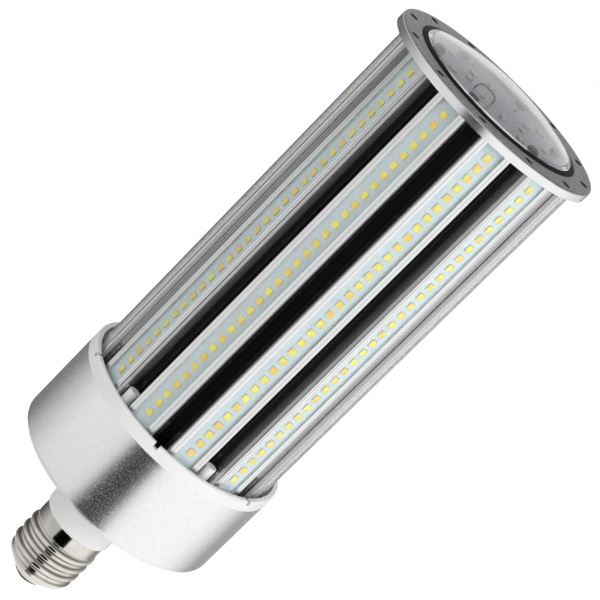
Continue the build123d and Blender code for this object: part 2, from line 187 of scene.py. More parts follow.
class FinishSettings(PropertyGroup):
    """Colours of the lamp's main finishes"""
    moulding: colour("White moulding", "Collar, rim ring and fixing caps", (0.82, 0.82, 0.815))
    housing: colour("Housing", "Satin metal of the driver housing", (0.94, 0.94, 0.93))
    channel: colour("Channel", "Extruded metal of the channels", (0.86, 0.86, 0.865))
    core: colour("Core", "Black finish of the core and the base plate", (0.006, 0.006, 0.006))
    board: colour("Board", "Solder mask of the LED boards", (0.55, 0.63, 0.63))
    flange: colour("Flange", "Cast metal of the top flange", (0.40, 0.40, 0.40))


class StageSettings(PropertyGroup):
    """Camera, floor and light"""
    distance: length("Distance", "From the lamp's axis to the camera, along the floor", 1.0978)
    height: length("Height", "Height of the camera above the contact's tip", 0.5733)
    azimuth: turn_angle("Azimuth", "Turn of the camera about the lamp's axis", -0.85)
    pitch: turn_angle("Pitch", "How far the camera looks down", 18.27)
    roll: turn_angle("Roll", "Turn of the camera about its own line of sight", 44.95)
    lens: FloatProperty(
        name="Lens", description="Focal length on a 36 mm sensor", default=142.3, unit="CAMERA")
    floor_drop: length("Floor drop", "How far the floor lies below the contact's tip", 0.25)
    floor_size: length("Floor size", "Side of the floor", 6.0)
    tent_radius: length("Tent radius", "Radius of the graded tent that the metal reflects", 0.5)
    tent_height: length("Tent height", "Height of the tent's upper edge", 1.4)
    ambient: FloatProperty(name="Ambient", description="Strength of the even light", default=0.52, min=0.0)
    key: watts("Key", "Power of the light on the right", 6.6)
    fill: watts("Fill", "Power of the light on the left", 3.7)
    top: watts("Top", "Power of the light overhead", 0.7)
    back: watts("Back", "Power of the light behind", 3.0)
    low: watts("Low", "Power of the light near the floor", 3.2)


# Shader expressions

class Field:
    """A shader value that takes part in Python expressions."""

    def __init__(self, finish, socket):
        self.finish = finish
        self.socket = socket

    def math(self, operation, *values):
        return self.finish.node("ShaderNodeMath", {"operation": operation}, dict(enumerate(values)))

    def __add__(self, other):
        return self.math("ADD", self, other)

    def __radd__(self, other):
        return self.math("ADD", other, self)

    def __sub__(self, other):
        return self.math("SUBTRACT", self, other)

    def __rsub__(self, other):
        return self.math("SUBTRACT", other, self)

    def __mul__(self, other):
        return self.math("MULTIPLY", self, other)

    def __rmul__(self, other):
        return self.math("MULTIPLY", other, self)

    def __truediv__(self, other):
        return self.math("DIVIDE", self, other)

    def __mod__(self, other):
        return self.math("FLOORED_MODULO", self, other)

    def __pow__(self, other):
        return self.math("POWER", self, other)

    def __abs__(self):
        return self.math("ABSOLUTE", self)


class Shader:
    """A node tree under construction."""

    def __init__(self, tree):
        self.tree = tree
        self.tree.nodes.clear()

    def node(self, kind, settings=None, inputs=None, output=0):
        """Adds a node: its settings come first, then its sockets' values or links."""
        made = self.tree.nodes.new(kind)
        for name, value in (settings or {}).items():
            if name == "stops":
                self.set_stops(made.color_ramp, value)
            else:
                setattr(made, name, value)
        for key, value in (inputs or {}).items():
            if isinstance(value, Field):
                self.tree.links.new(value.socket, made.inputs[key])
            else:
                made.inputs[key].default_value = value
        return Field(self, made.outputs[output]) if made.outputs else None

    @staticmethod
    def set_stops(ramp, stops):
        while len(ramp.elements) < len(stops):
            ramp.elements.new(1.0)
        for element, (position, grey) in zip(ramp.elements, stops):
            element.position = position
            element.color = (grey, grey, grey, 1.0)


class Finish(Shader):
    """A procedural material under construction, with the lamp's own coordinates."""

    def __init__(self, name):
        self.material = bpy.data.materials.new(name)
        self.material.use_nodes = True
        super().__init__(self.material.node_tree)
        self.point = self.node("ShaderNodeTexCoord", output="Object")
        self.x, self.y, self.z = (
            self.node("ShaderNodeSeparateXYZ", inputs={0: self.point}, output=i) for i in range(3))

    def radius(self):
        return (self.x * self.x + self.y * self.y) ** 0.5

    def angle(self):
        return self.x.math("ARCTAN2", self.y, self.x)

    def sector(self, step, first):
        """Distance aside from the middle of one of some equal sectors, and outwards along that middle."""
        local = (self.angle() - first) % step - step / 2
        radius = self.radius()
        return radius * local.math("SINE", local), radius * local.math("COSINE", local)

    def module(self):
        """Distance across a channel from its middle, and outwards from the lamp's axis."""
        return self.sector(MODULE_STEP, FRONT)

    def vector(self, x, y, z):
        return self.node("ShaderNodeCombineXYZ", inputs={0: x, 1: y, 2: z})

    def noise(self, grains, detail=2.0, vector=None):
        """Noise from 0 to 1, with a number of grains in a metre for all axes or for each."""
        if isinstance(grains, float):
            grains = (grains, grains, grains)
        place = vector or self.point
        scaled = self.node("ShaderNodeVectorMath", {"operation": "MULTIPLY"}, {0: place, 1: grains})
        return self.node("ShaderNodeTexNoise", inputs={"Vector": scaled, "Scale": 1.0, "Detail": detail})

    def step(self, low, high, value):
        """0 below low, 1 above high, and a smooth rise between them."""
        return self.node(
            "ShaderNodeMapRange", {"interpolation_type": "SMOOTHSTEP"},
            {"Value": value, "From Min": low, "From Max": high})

    def band(self, centre, half_width, soft, value):
        """1 within half_width of centre, with soft edges."""
        return 1 - self.step(half_width - soft, half_width + soft, abs(value - centre))

    def mix(self, factor, first, second):
        """A blend of two colours."""
        sockets = {0: factor, 6: self.rgba(first), 7: self.rgba(second)}
        return self.node("ShaderNodeMix", {"data_type": "RGBA"}, sockets, output=2)

    @staticmethod
    def rgba(value):
        return value if isinstance(value, Field) else (*value, 1.0)

    def bump(self, height, strength, distance):
        inputs = {"Strength": strength, "Distance": distance, "Height": height}
        return self.node("ShaderNodeBump", inputs=inputs)

    def surface(self, **sockets):
        """Closes the material with one surface shader; an underscore in a name stands for a space."""
        inputs = {name.replace("_", " "): value for name, value in sockets.items()}
        shader = self.node("ShaderNodeBsdfPrincipled", inputs=inputs)
        self.node("ShaderNodeOutputMaterial", inputs={"Surface": shader})
        return self.material


def either_way(turn):
    """How far a turn lies from zero, on one side or the other."""
    return abs((turn + math.pi) % math.tau - math.pi)


def shade(rgb, factor):
    """A colour made lighter or darker."""
    return tuple(min(channel * factor, 1.0) for channel in rgb)


# Finishes

def nickel_finish(name, rgb, thread=None):
    """Plating with rolling lines and soft smudges; on a thread the flanks are rougher and carry painted
    shade.
    """
    f = Finish(name)
    lines = f.noise((9.0, 900.0, 3200.0), 3.0, f.vector(f.angle(), f.radius(), f.z))
    smudge = f.noise(140.0, 4.0)
    tone = f.mix(f.step(0.3, 0.7, smudge), shade(rgb, 0.88), shade(rgb, 1.05))
    rough = 0.05 + 0.06 * smudge + 0.04 * lines
    if thread:
        pitch, first_crest, low, high = thread
        turn = (f.angle() + math.pi) / math.tau
        phase = ((f.z - first_crest) / pitch - turn) % 1.0
        inside = f.step(low, low + 5.0 * MM, f.z) * (1 - f.step(high - 1.0 * MM, high, f.z))
        upper_flank = f.band(0.27, 0.10, 0.08, phase)
        lower_flank = f.band(0.73, 0.08, 0.07, phase)
        # Painted shade: dark bands on the thread's upper and lower flanks, which are also made rougher.
        flank_shade = inside * (upper_flank + 0.55 * lower_flank)
        tone = f.mix(flank_shade * 0.85, tone, (0.10, 0.094, 0.08))
        rough = rough + 0.2 * flank_shade
    return f.surface(Base_Color=tone, Metallic=1.0, Roughness=rough, Normal=f.bump(lines, 0.08, 0.05 * MM))


def insulator_finish():
    """Dark glazed insulator."""
    f = Finish("glazed_insulator")
    cloud = f.noise(400.0, 3.0)
    tone = f.mix(cloud, (0.012, 0.011, 0.014), (0.05, 0.045, 0.055))
    return f.surface(
        Base_Color=tone, Roughness=0.18 + 0.2 * cloud, Normal=f.bump(cloud, 0.1, 0.05 * MM))


def moulding_finish(rgb):
    """Smooth white moulding with a faint cloud and a fine mould texture."""
    f = Finish("white_moulding")
    cloud = f.noise(70.0, 3.0)
    grain = f.noise(5200.0)
    tone = f.mix(cloud, shade(rgb, 0.965), shade(rgb, 1.03))
    return f.surface(
        Base_Color=tone, Roughness=0.36 + 0.12 * cloud, Normal=f.bump(grain, 0.10, 0.03 * MM))


def housing_finish(rgb):
    """Fine blasted metal: a dense grain in tone and gloss, with matt specks."""
    f = Finish("satin_housing")
    grain = f.noise(1300.0)
    speck = f.step(0.48, 0.66, grain)
    patch = f.noise((38.0, 38.0, 22.0), 3.0)
    tone = f.mix(f.step(0.25, 0.75, grain), shade(rgb, 0.91), shade(rgb, 1.05))
    return f.surface(
        Base_Color=tone, Metallic=1 - 0.14 * speck, Roughness=0.20 + 0.07 * grain + 0.04 * patch,
        Normal=f.bump(grain, 0.25, 0.05 * MM))


def channel_finish(rgb, front, head, rib, line):
    """Extruded metal, draw lines, a brushed head; painted light on pocket walls and rib ends, painted
    shade deep in the neck.
    """
    f = Finish("extruded_channel")
    across, out = f.module()
    depth = front - out
    face = 1 - f.step(0.2 * MM, 0.6 * MM, depth)
    brushed = 1 - f.step(head, head + 0.4 * MM, depth)
    # Painted shade: with depth the neck's colour falls to a quarter, standing for the shade deep in the
    # slots.
    dark = f.step(head + 2.8 * MM, head + 5.4 * MM, depth)
    side = brushed - face
    between = 1 - f.step(line - 0.4 * MM, line - 0.2 * MM, abs(across))
    # Painted light: the pocket walls beside the board are paler and less metallic, lifting the shade in
    # that corner.
    pocket = f.step(0.5 * MM, 0.7 * MM, depth) * between
    # Painted highlight: the ribs' ends keep half a pale tone, as light lines against the painted neck
    # shade.
    edge = f.step(rib - 0.25 * MM, rib - 0.1 * MM, abs(across)) * (1 - brushed)
    fine = f.noise((3000.0, 3000.0, 6.0))
    broad = f.noise((620.0, 620.0, 2.5), 3.0)
    drawn = f.mix(f.step(0.3, 0.7, broad), shade(rgb, 0.88), shade(rgb, 1.05))
    neck = f.mix(dark, rgb, shade(rgb, 0.25))
    score = f.band(line, 0.16 * MM, 0.1 * MM, abs(across)) * brushed
    metal = f.mix(score * 0.6, f.mix(brushed, neck, drawn), shade(rgb, 0.5))
    tone = f.mix(pocket, f.mix(edge * 0.5, metal, shade(rgb, 0.9)), shade(rgb, 1.1))
    return f.surface(
        Base_Color=tone, Metallic=0.88 + 0.12 * brushed - 0.55 * side - 0.4 * pocket,
        Roughness=0.06 + 0.03 * fine + face * (0.12 + 0.07 * broad) + 0.24 * side,
        Normal=f.bump((fine + broad - score) * (0.03 + 0.97 * face), 0.22, 0.03 * MM))


def core_finish(rgb):
    """Black finish with a faint grain."""
    f = Finish("black_core")
    grain = f.noise((1800.0, 1800.0, 300.0), 3.0)
    tone = f.mix(grain, shade(rgb, 0.6), shade(rgb, 1.5))
    return f.surface(
        Base_Color=tone, Roughness=0.42 + 0.25 * grain, Specular_IOR_Level=0.22,
        Normal=f.bump(grain, 0.2, 0.05 * MM))


def board_finish(rgb, pitch, first_led, copper_half):
    """Pale solder mask over faint copper fields, with gaps between the LEDs and a margin."""
    f = Finish("board_mask")
    across, _ = f.module()
    along = (f.z - first_led) % pitch
    gap = f.band(pitch / 2, 0.22 * MM, 0.08 * MM, along)
    edge = f.step(copper_half, copper_half + 0.2 * MM, abs(across))
    grain = f.noise(900.0)
    mask = f.mix(grain, shade(rgb, 0.97), shade(rgb, 1.03))
    relief = gap.math("MAXIMUM", gap, edge)
    tone = f.mix(relief * 0.5, mask, shade(rgb, 0.86))
    return f.surface(
        Base_Color=tone, Roughness=0.34 + 0.1 * grain, Coat_Weight=0.25, Coat_Roughness=0.15,
        Normal=f.bump(1 - relief, 0.3, 0.04 * MM))


def top_board_finish(rgb, fields, ring_r):
    """Solder mask over copper fields in sectors, with a gap in a ring; its dark tint is painted shade."""
    f = Finish("top_board_mask")
    sector = math.tau / fields
    turn = (f.angle() + sector / 2) % sector - sector / 2
    gap = f.band(0.0, 0.25 * MM, 0.08 * MM, f.radius() * turn)
    ring = f.band(ring_r, 0.25 * MM, 0.08 * MM, f.radius())
    relief = gap.math("MAXIMUM", gap, ring)
    grain = f.noise(900.0)
    mask = f.mix(grain, shade(rgb, 0.95), shade(rgb, 1.03))
    tone = f.mix(relief * 0.6, mask, shade(rgb, 0.8))
    return f.surface(
        Base_Color=tone, Roughness=0.34 + 0.1 * grain, Coat_Weight=0.25, Coat_Roughness=0.15,
        Normal=f.bump(1 - relief, 0.3, 0.04 * MM))


def clear_finish(name, tint, clarity, dust):
    """Clear plastic with faint flow lines in its gloss, a pale haze, and dust seen at a flat angle."""
    f = Finish(name)
    flow = f.noise((260.0, 260.0, 18.0))
    return f.surface(
        Base_Color=(*tint, 1.0), Roughness=0.02 + 0.03 * flow, IOR=1.49, Transmission_Weight=clarity,
        Sheen_Weight=dust, Sheen_Roughness=0.45, Normal=f.bump(flow, 0.012, 0.05 * MM))


def tone_by_board(f, column, shaded_top_rgb, board_top):
    """One tone for the LEDs on the column, and a darker copy as painted shade for those that stand on the
    top board.
    """
    return f.mix(f.step(board_top - 0.2 * MM, board_top - 0.1 * MM, f.z), column, shaded_top_rgb)


def package_finish(rgb, shaded_top_rgb, board_top):
    """Phosphor coat on the sides of the LED packages, darkened as painted shade on the top board."""
    f = Finish("led_body")
    grain = f.noise(3800.0)
    coat = f.mix(grain, shade(rgb, 0.94), shade(rgb, 1.03))
    tone = tone_by_board(f, coat, shaded_top_rgb, board_top)
    return f.surface(Base_Color=tone, Roughness=0.40 + 0.15 * grain, Normal=f.bump(grain, 0.1, 0.03 * MM))


def phosphor_finish(rgb, shaded_top_rgb, board_top):
    """Phosphor that differs a little from package to package, darkened as painted shade on the top board.
    """
    f = Finish("led_phosphor")
    batch = f.noise(170.0, 1.0)
    grain = f.noise(5200.0)
    pale = (rgb[0], min(rgb[1] * 1.15, 1.0), rgb[2] * 1.5)
    deep = (rgb[0], rgb[1] * 0.82, rgb[2] * 0.8)
    column = f.mix(f.step(0.35, 0.65, batch), pale, deep)
    tone = tone_by_board(f, column, shaded_top_rgb, board_top)
    speckle = f.mix(grain * 0.35, tone, f.mix(0.8, BLACK, tone))
    return f.surface(
        Base_Color=speckle, Roughness=0.25 + 0.2 * grain, Coat_Weight=0.3, Coat_Roughness=0.1,
        Normal=f.bump(grain, 0.15, 0.03 * MM))


def terminal_finish():
    """Tinned terminals."""
    f = Finish("tinned_terminal")
    grain = f.noise(4200.0)
    tone = f.mix(grain, (0.55, 0.55, 0.56), (0.78, 0.78, 0.78))
    return f.surface(Base_Color=tone, Metallic=1.0, Roughness=0.22 + 0.2 * grain)


def flange_finish(rgb, top, round_size, holes):
    """Cast metal: a grainy face on top, a machined, polished edge, and painted shade inside the holes."""
    f = Finish("cast_flange")
    count, circle_r, hole_r = holes
    step = math.tau / count
    aside, along = f.sector(step, FRONT - step / 2)
    outwards = along - circle_r
    from_hole = (aside * aside + outwards * outwards) ** 0.5
    # Painted shade: the holes' walls are made dark grey, and also rougher.
    shaded_bore = 1 - f.step(hole_r + 0.02 * MM, hole_r + 0.12 * MM, from_hole)
    face = f.step(top - round_size, top - 0.3 * round_size, f.z)
    grain = f.noise(1150.0, 4.0)
    speck = f.step(0.55, 0.75, f.noise(1900.0))
    turning = f.noise((5.0, 600.0, 5200.0), 2.0, f.vector(f.angle(), f.radius(), f.z))
    cast = f.mix(f.step(0.3, 0.7, grain), shade(rgb, 0.62), shade(rgb, 1.25))
    cast = f.mix(speck * 0.5, cast, shade(rgb, 1.7))
    polished = f.mix(turning, (0.84, 0.84, 0.84), (0.92, 0.92, 0.92))
    metal = f.mix(face, polished, cast)
    relief = face * grain + (1 - face) * 0.12 * turning
    return f.surface(
        Base_Color=f.mix(shaded_bore, metal, (0.16, 0.16, 0.16)), Metallic=1.0,
        Roughness=face * (0.4 + 0.2 * grain) + (1 - face) * (0.18 + 0.08 * turning) + 0.3 * shaded_bore,
        Normal=f.bump(relief, 0.5, 0.12 * MM))


def rubber_finish():
    """Matt black sealant."""
    f = Finish("black_sealant")
    grain = f.noise(1600.0, 3.0)
    tone = f.mix(grain, (0.004, 0.004, 0.004), (0.014, 0.014, 0.014))
    return f.surface(
        Base_Color=tone, Roughness=0.45 + 0.2 * grain, Specular_IOR_Level=0.05,
        Normal=f.bump(grain, 0.3, 0.08 * MM))


def steel_finish():
    """Blackened steel with brighter worn spots."""
    f = Finish("blackened_steel")
    wear = f.step(0.5, 0.75, f.noise(1300.0, 3.0))
    tone = f.mix(wear, (0.003, 0.003, 0.003), (0.05, 0.05, 0.052))
    return f.surface(
        Base_Color=tone, Metallic=0.5 * wear, Roughness=0.45 - 0.14 * wear, Specular_IOR_Level=0.0,
        Normal=f.bump(wear, 0.1, 0.04 * MM))


def wire_finish():
    """Dark grey insulation."""
    f = Finish("wire_insulation")
    grain = f.noise((900.0, 900.0, 120.0), 3.0)
    tone = f.mix(grain, (0.015, 0.016, 0.018), (0.04, 0.041, 0.045))
    return f.surface(Base_Color=tone, Roughness=0.38 + 0.15 * grain, Normal=f.bump(grain, 0.1, 0.05 * MM))


def laminate_finish():
    """Green laminate with lighter copper fields under its mask."""
    f = Finish("driver_laminate")
    field = f.step(0.47, 0.53, f.noise(110.0, 1.0))
    weave = f.noise(2500.0)
    tone = f.mix(field, (0.02, 0.10, 0.04), (0.04, 0.17, 0.07))
    return f.surface(
        Base_Color=tone, Roughness=0.32 + 0.15 * weave, Normal=f.bump(field + 0.2 * weave, 0.3, 0.04 * MM))


def ferrite_finish(low, high, yoke):
    """Dark ferrite with a taped winding between the yokes."""
    f = Finish("ferrite_and_tape")
    winding = f.band((low + high) / 2, (high - low) / 2 - yoke, 0.2 * MM, f.z)
    grain = f.noise(1400.0, 3.0)
    lap = f.noise((40.0, 40.0, 420.0))
    block = f.mix(grain, (0.02, 0.02, 0.022), (0.06, 0.06, 0.062))
    tape = f.mix(lap, (0.55, 0.38, 0.06), (0.70, 0.52, 0.12))
    return f.surface(
        Base_Color=f.mix(winding, block, tape), Roughness=0.5 + 0.2 * grain,
        Normal=f.bump(grain + lap, 0.2, 0.08 * MM))


def sleeve_finish(top):
    """Shrunk sleeve with a bare metal end."""
    f = Finish("capacitor_sleeve")
    end = f.step(top - 0.6 * MM, top - 0.2 * MM, f.z)
    grain = f.noise((1100.0, 1100.0, 200.0), 3.0)
    sleeve = f.mix(grain, (0.012, 0.014, 0.022), (0.03, 0.034, 0.05))
    return f.surface(
        Base_Color=f.mix(end, sleeve, (0.62, 0.62, 0.62)), Metallic=end, Roughness=0.28 + 0.15 * grain,
        Normal=f.bump(grain, 0.1, 0.05 * MM))


def paint(material, *names):
    """Gives packed solids their finish."""
    for name in names:
        mesh = NODES[name].data
        mesh.materials.clear()
        mesh.materials.append(material)


# Mesh helpers

def new_piece(name, vertices, faces, materials, finishes=None, smooth=None):
    """A piece in the lamp's own frame; finishes and smooth give each face's material and shading."""
    mesh = bpy.data.meshes.new(name)
    mesh.from_pydata(vertices, [], faces)
    for material in materials:
        mesh.materials.append(material)
    if finishes:
        mesh.polygons.foreach_set("material_index", finishes)
    mesh.polygons.foreach_set("use_smooth", smooth or [True] * len(faces))
    mesh.validate()
    mesh.update()
    piece = bpy.data.objects.new(name, mesh)
    bpy.context.scene.collection.objects.link(piece)
    return piece


def ring_faces(first, second, count):
    """Quads between two closed rings of vertices that start at the given numbers."""
    following = [(i + 1) % count for i in range(count)]
    return [(first + i, first + n, second + n, second + i) for i, n in enumerate(following)]


def polar(radius, turn, z):
    """A point at a distance and a turn from an upright axis."""
    return Vector((radius * math.cos(turn), radius * math.sin(turn), z))


def circle(radius, z, count):
    """Points round the lamp's axis, anticlockwise from above."""
    return [polar(radius, math.tau * i / count, z) for i in range(count)]


def rounded_rectangle(long_side, short_side, corner, height, steps=3):
    """Points round a rectangle with round corners, anticlockwise, at one height."""
    points = []
    for quarter, (sx, sy) in enumerate(((1, 1), (-1, 1), (-1, -1), (1, -1))):
        cx = sx * (long_side / 2 - corner)
        cy = sy * (short_side / 2 - corner)
        for i in range(steps + 1):
            turn = (quarter + i / steps) * math.pi / 2
            points.append(Vector((cx + corner * math.cos(turn), cy + corner * math.sin(turn), height)))
    return points


class Batch:
    """Vertices and faces of many like parts that become one piece."""

    def __init__(self):
        self.vertices = []
        self.faces = []
        self.finishes = []
        self.smooth = []

    def add(self, points, faces, place, finish, smooth):
        first = len(self.vertices)
        self.vertices += [place @ p for p in points]
        self.faces += [tuple(first + i for i in face) for face in faces]
        self.finishes += [finish] * len(faces)
        self.smooth += [smooth] * len(faces)

    def piece(self, name, materials):
        return new_piece(name, self.vertices, self.faces, materials, self.finishes, self.smooth)


def ring_part(rings, cap_first, cap_last):
    """Points and faces of a skin through rings of equal count, with its ends closed where asked."""
    count = len(rings[0])
    points = [p for ring in rings for p in ring]
    faces = []
    for i in range(len(rings) - 1):
        faces += ring_faces(i * count, (i + 1) * count, count)
    if cap_first:
        faces.append(tuple(reversed(range(count))))
    if cap_last:
        faces.append(tuple(range(len(points) - count, len(points))))
    return points, faces


# Operators, one for each piece or group of like pieces

class LAMP_OT_screw_cap(Operator):
    """Models the rolled thread of the shell and plates the cap"""
    bl_idname = "lamp.screw_cap"
    bl_label = "Screw Cap"
    segments = 180
    row_height = 0.3 * MM

    def execute(self, context):
        cap = context.scene.lamp_cap
        paint(nickel_finish("nickel_contact", cap.nickel), "centre_contact")
        paint(insulator_finish(), "cap_insulator")
        low, high = (corner.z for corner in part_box("screw_shell"))
        mouth = radii("screw_shell", low, low + 0.1 * MM)[0]
        inside, band = radii("screw_shell", high - 0.1 * MM, high)
        crest = MOUNTS["screw_cap"]["r_mm"] * MM
        root = crest - cap.depth
        cone_top = min(p.z for p in corners("screw_shell") if math.hypot(p.x, p.y) > root - 0.05 * MM)
        thread_top = cone_top + cap.turns * cap.pitch

        def outline(z, turn):
            if z < cone_top:
                share = (z - low) / (cone_top - low)
                return mouth + (root - mouth) * share ** 0.92
            rise = smoothstep(cone_top, cone_top + 4.5 * MM, z)
            fade = 1 - smoothstep(thread_top - 1.4 * MM, thread_top + 0.4 * MM, z)
            base = root + (band - root) * smoothstep(thread_top - 1.0 * MM, thread_top + 0.5 * MM, z)
            phase = (z - cap.first_crest) / cap.pitch - turn / math.tau
            wave = 0.5 + 0.5 * math.cos(math.tau * phase)
            return base + cap.depth * rise * fade * wave

        rows = round((high - low) / self.row_height)
        wall = band - inside
        heights = [low + (high - low) * i / rows for i in range(rows + 1)]
        turns = [math.tau * i / self.segments for i in range(self.segments)]
        outer = [[self.place(outline(z, t), t, z) for t in turns] for z in heights]
        hollow = [[self.place(outline(z, t) - wall, t, z) for t in turns] for z in reversed(heights[4::2])]
        points, faces = ring_part(outer + hollow, False, False)
        last = len(points) - self.segments
        faces += ring_faces(last, 0, self.segments)
        thread = (cap.pitch, cap.first_crest, cone_top, thread_top)
        nickel = nickel_finish("nickel_shell", cap.nickel, thread)
        shell = new_piece("threaded_shell", points, faces, [nickel])
        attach(shell, "root")
        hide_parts("screw_shell")
        return {"FINISHED"}

    @staticmethod
    def place(radius, turn, z):
        """A point whose turn is counted from the lamp's left side, anticlockwise from above."""
        return polar(-radius, turn, z)


class LAMP_OT_mouldings(Operator):
    """Finishes the white collar, rim ring and fixing caps"""
    bl_idname = "lamp.mouldings"
    bl_label = "White Mouldings"

    def execute(self, context):
        paint(moulding_finish(context.scene.lamp_finish.moulding), "collar", "rim_ring", "fixing_caps")
        return {"FINISHED"}


class LAMP_OT_housing(Operator):
    """Finishes the driver housing and the driver inside it"""
    bl_idname = "lamp.housing"
    bl_label = "Driver Housing"
    yoke = 4.0 * MM

    def execute(self, context):
        paint(housing_finish(context.scene.lamp_finish.housing), "driver_housing")
        paint(laminate_finish(), "driver_board")
        low, high = (corner.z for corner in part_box("transformer"))
        paint(ferrite_finish(low, high, self.yoke), "transformer")
        paint(sleeve_finish(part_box("capacitors")[1].z), "capacitors")
        paint(steel_finish(), "board_posts")
        paint(wire_finish(), "contact_lead", "shell_lead", "supply_leads", "board_link")
        return {"FINISHED"}


class LAMP_OT_column(Operator):
    """Finishes the channels, the core and the base plate"""
    bl_idname = "lamp.column"
    bl_label = "Column"
    # Depth of the channel's head, and distances from its middle to the ribs' ends and the scored line
    head = 2.7 * MM
    rib = 8.6 * MM
    line = 7.1 * MM

    def execute(self, context):
        finish = context.scene.lamp_finish
        metal = channel_finish(finish.channel, front_radius(), self.head, self.rib, self.line)
        paint(metal, *["heat_sink_" + n for n in MODULE_NUMBERS])
        paint(core_finish(finish.core), "core_tube", "base_plate")
        return {"FINISHED"}


class LAMP_OT_leds(Operator):
    """Models the LED packages and finishes their boards"""
    bl_idname = "lamp.leds"
    bl_label = "LED Packages"
    chamfer = 0.02 * MM
    corner = 0.18 * MM
    terminal_height = 0.3 * MM
    copper_half = 4.55 * MM
    # Rings of the phosphor's dome, as shares of the window's sides and corner and of the recess
    dome = ((0.75, 0.7, 0.6, 0.5), (0.35, 0.3, 0.3, 0.75))

    def execute(self, context):
        led = context.scene.lamp_led
        finish = context.scene.lamp_finish
        board_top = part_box("top_board")[1].z
        batch = Batch()
        column_heights = set()
        for points in solids("leds"):
            centre = middle(points)
            turn = math.atan2(centre.y, centre.x)
            outward = Vector((math.cos(turn), math.sin(turn), 0.0))
            across = Vector((-outward.y, outward.x, 0.0))
            up = Vector((0.0, 0.0, 1.0))
            facing = up if min(p.z for p in points) > board_top - 0.01 * MM else outward
            third = facing.cross(across)
            axes = (across, third, facing)
            size = self.spread(points, axes)
            if size[1] > size[0]:
                axes = (third, -across, facing)
                size = self.spread(points, axes)
            seat = centre - facing * size[2] / 2
            place = Matrix.Translation(seat) @ Matrix(axes).transposed().to_4x4()
            self.add_package(batch, led, size, place)
            if facing is outward:
                column_heights.add(round(centre.z, 6))
        heights = sorted(column_heights)
        materials = [
            package_finish(led.body, led.shaded_top_body, board_top),
            phosphor_finish(led.phosphor, led.shaded_top_phosphor, board_top),
            terminal_finish(),
        ]
        packages = batch.piece("led_packages", materials)
        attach(packages, "root")
        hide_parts("leds")
        pitch = (heights[-1] - heights[0]) / (len(heights) - 1)
        mask = board_finish(finish.board, pitch, heights[0], self.copper_half)
        paint(mask, *["led_board_" + n for n in MODULE_NUMBERS])
        return {"FINISHED"}

    @staticmethod
    def spread(points, axes):
        """The size of some points along each axis."""
        reach = [[p.dot(axis) for p in points] for axis in axes]
        return [max(values) - min(values) for values in reach]

    def add_package(self, batch, led, size, place):
        """One package: a moulded body with a recessed window, domed phosphor and two terminals."""
        long_side, short_side, high = size
        bevel = self.chamfer
        window = (long_side - 2 * led.margin, short_side - 2 * led.margin, led.window_round)
        floor = high - led.recess
        body = [
            rounded_rectangle(long_side, short_side, self.corner, 0.0),
            rounded_rectangle(long_side, short_side, self.corner, high - bevel),
            rounded_rectangle(long_side - 2 * bevel, short_side - 2 * bevel, self.corner, high),
            rounded_rectangle(*window, high),
            rounded_rectangle(window[0] - bevel, window[1] - bevel, window[2], floor),
        ]
        batch.add(*ring_part(body, True, False), place, 0, False)
        phosphor = [body[-1]]
        for along, over, corner, rise in self.dome:
            sides = (along * window[0], over * window[1], corner * window[2])
            phosphor.append(rounded_rectangle(*sides, floor + rise * led.recess))
        batch.add(*ring_part(phosphor, False, True), place, 1, True)
        tab = (2 * led.terminal, 0.72 * short_side, self.corner)
        for side in (-1, 1):
            shift = Matrix.Translation((side * (long_side / 2 - 0.2 * led.terminal), 0.0, 0.0))
            rings = [rounded_rectangle(*tab, 0.0, 1), rounded_rectangle(*tab, self.terminal_height, 1)]
            batch.add(*ring_part(rings, True, True), place @ shift, 2, False)


class LAMP_OT_covers(Operator):
    """Models the lens with an even dome and finishes the clear strips"""
    bl_idname = "lamp.covers"
    bl_label = "Clear Covers"
    segments = 144
    dome_rows = 30
    strip_tint = (0.93, 0.96, 0.985)
    lens_tint = (0.95, 0.95, 0.975)

    def execute(self, context):
        strips = ["clear_strip_" + n for n in MODULE_NUMBERS]
        paint(clear_finish("clear_strip", self.strip_tint, clarity=0.97, dust=1.0), *strips)
        low, high = (corner.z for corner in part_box("lens"))
        inner_r, outer_r = radii("lens", low, low + 0.01 * MM)
        reach = [(math.hypot(p.x, p.y), p.z) for p in corners("lens")]
        spring = max(z for r, z in reach if r > outer_r - 0.01 * MM)
        inner_spring = max(z for r, z in reach if abs(r - inner_r) < 0.01 * MM and z < spring)
        inner_top = min(z for r, z in reach if r < 0.01 * MM)
        outside = [(outer_r, low)] + self.dome(outer_r, spring, high)
        inside = [(inner_r, low)] + self.dome(inner_r, inner_spring, inner_top)
        shell = [circle(r, z, self.segments) for r, z in outside]
        cavity = [circle(r, z, self.segments) for r, z in reversed(inside)]
        points, faces = ring_part(shell, False, True)
        hollow, hollow_faces = ring_part(cavity, True, False)
        first = len(points)
        points += hollow
        faces += [tuple(first + i for i in face) for face in hollow_faces]
        faces += ring_faces(len(points) - self.segments, 0, self.segments)
        curved = [len(set(round(points[i].z, 7) for i in face)) > 1 for face in faces]
        clear = clear_finish("clear_lens", self.lens_tint, clarity=1.0, dust=0.0)
        lens = new_piece("dome_lens", points, faces, [clear], smooth=curved)
        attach(lens, "root")
        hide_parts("lens")
        for piece in [NODES[name] for name in strips] + [lens]:
            piece.visible_shadow = False
        return {"FINISHED"}

    def dome(self, radius, spring, top):
        """Radius and height down a dome's arc, from its spring to a small ring at its top."""
        rise = top - spring
        sphere = (radius * radius + rise * rise) / (2 * rise)
        reach = math.asin(radius / sphere)
        turns = [reach * (1 - 0.998 * i / self.dome_rows) for i in range(self.dome_rows + 1)]
        return [(sphere * math.sin(t), top - sphere + sphere * math.cos(t)) for t in turns]


